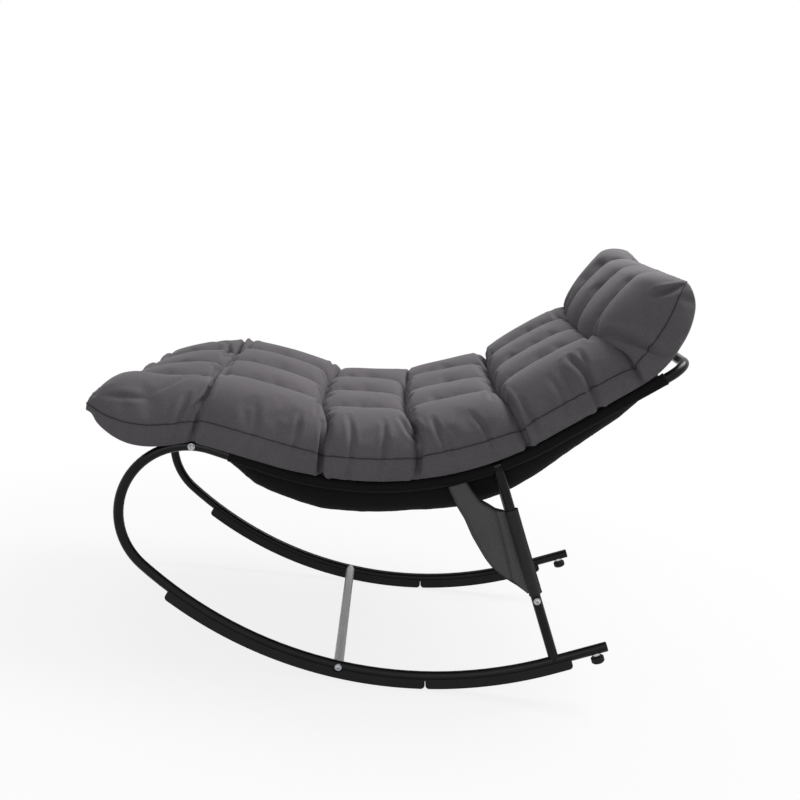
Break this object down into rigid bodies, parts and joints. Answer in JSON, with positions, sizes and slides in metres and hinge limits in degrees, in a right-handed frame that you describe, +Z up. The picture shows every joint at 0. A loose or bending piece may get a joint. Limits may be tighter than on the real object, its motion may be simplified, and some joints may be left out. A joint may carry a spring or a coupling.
{
  "type": "outdoor rocking lounge chair",
  "caption": "Outdoor rocking lounge chair: bent tube rockers that loop round into the seat rails, a sling, a thick channel-tufted cushion with a headrest, and a side pocket.",
  "frame": {"origin": "middle of the chair's box, on the floor", "axes": "+Z up; the chair faces -X, so +X runs from the foot end to the head end; +Y is to the sitter's right"},
  "size_m": [1.2516, 0.724, 0.9541],
  "materials": {
    "frame_paint": "satin",
    "cross_bar_paint": "satin",
    "plated_steel": "satin",
    "runner_strip": "matte",
    "foot_rubber": "matte",
    "cap_plastic": "matte",
    "cushion_cloth": "woven, matte",
    "sling_cloth": "woven, matte",
    "pocket_cloth": "woven, matte"
  },
  "bodies": {
    "chair_frame": {"cross_bar": "cross_bar_paint", "cross_bar_bolts": "plated_steel", "cross_bar_plugs": "plated_steel", "cross_bar_washers": "plated_steel", "cushion_back_pad": "cushion_cloth", "cushion_front_pad": "cushion_cloth", "cushion_head_pad": "cushion_cloth", "cushion_leg_pad": "cushion_cloth", "cushion_lumbar_pad": "cushion_cloth", "cushion_seat_pad": "cushion_cloth", "front_joint_bolts": "plated_steel", "front_joint_nuts": "plated_steel", "front_joint_washers": "plated_steel", "left_foot_insert": "plated_steel", "left_front_runner": "runner_strip", "left_lower_leg": "frame_paint", "left_rear_runner": "runner_strip", "left_rocker_tube": "frame_paint", "left_side_rail": "frame_paint", "left_sling_sleeve": "sling_cloth", "left_tail_cap": "cap_plastic", "left_upper_leg": "frame_paint", "leg_joint_bolts": "plated_steel", "leg_joint_nuts": "plated_steel", "leg_joint_washers": "plated_steel", "pocket_inner_panel": "pocket_cloth", "pocket_outer_panel": "pocket_cloth", "pocket_sleeve": "pocket_cloth", "right_foot_insert": "plated_steel", "right_front_runner": "runner_strip", "right_lower_leg": "frame_paint", "right_rear_runner": "runner_strip", "right_rocker_tube": "frame_paint", "right_side_rail": "frame_paint", "right_sling_sleeve": "sling_cloth", "right_tail_cap": "cap_plastic", "right_upper_leg": "frame_paint", "sling_panel": "sling_cloth", "top_rail": "frame_paint"},
    "left_stop_foot": {"left_foot_stem": "plated_steel", "left_foot_pad": "foot_rubber"},
    "right_stop_foot": {"right_foot_stem": "plated_steel", "right_foot_pad": "foot_rubber"}
  },
  "joints": [
    {"name": "left_foot_screw", "type": "slide", "parent": "chair_frame", "child": "left_stop_foot", "axis": [0.3843, 0, -0.9232], "range_m": [-0.003, 0.006]},
    {"name": "right_foot_screw", "type": "slide", "parent": "chair_frame", "child": "right_stop_foot", "axis": [0.3843, 0, -0.9232], "range_m": [-0.003, 0.006]}
  ]
}
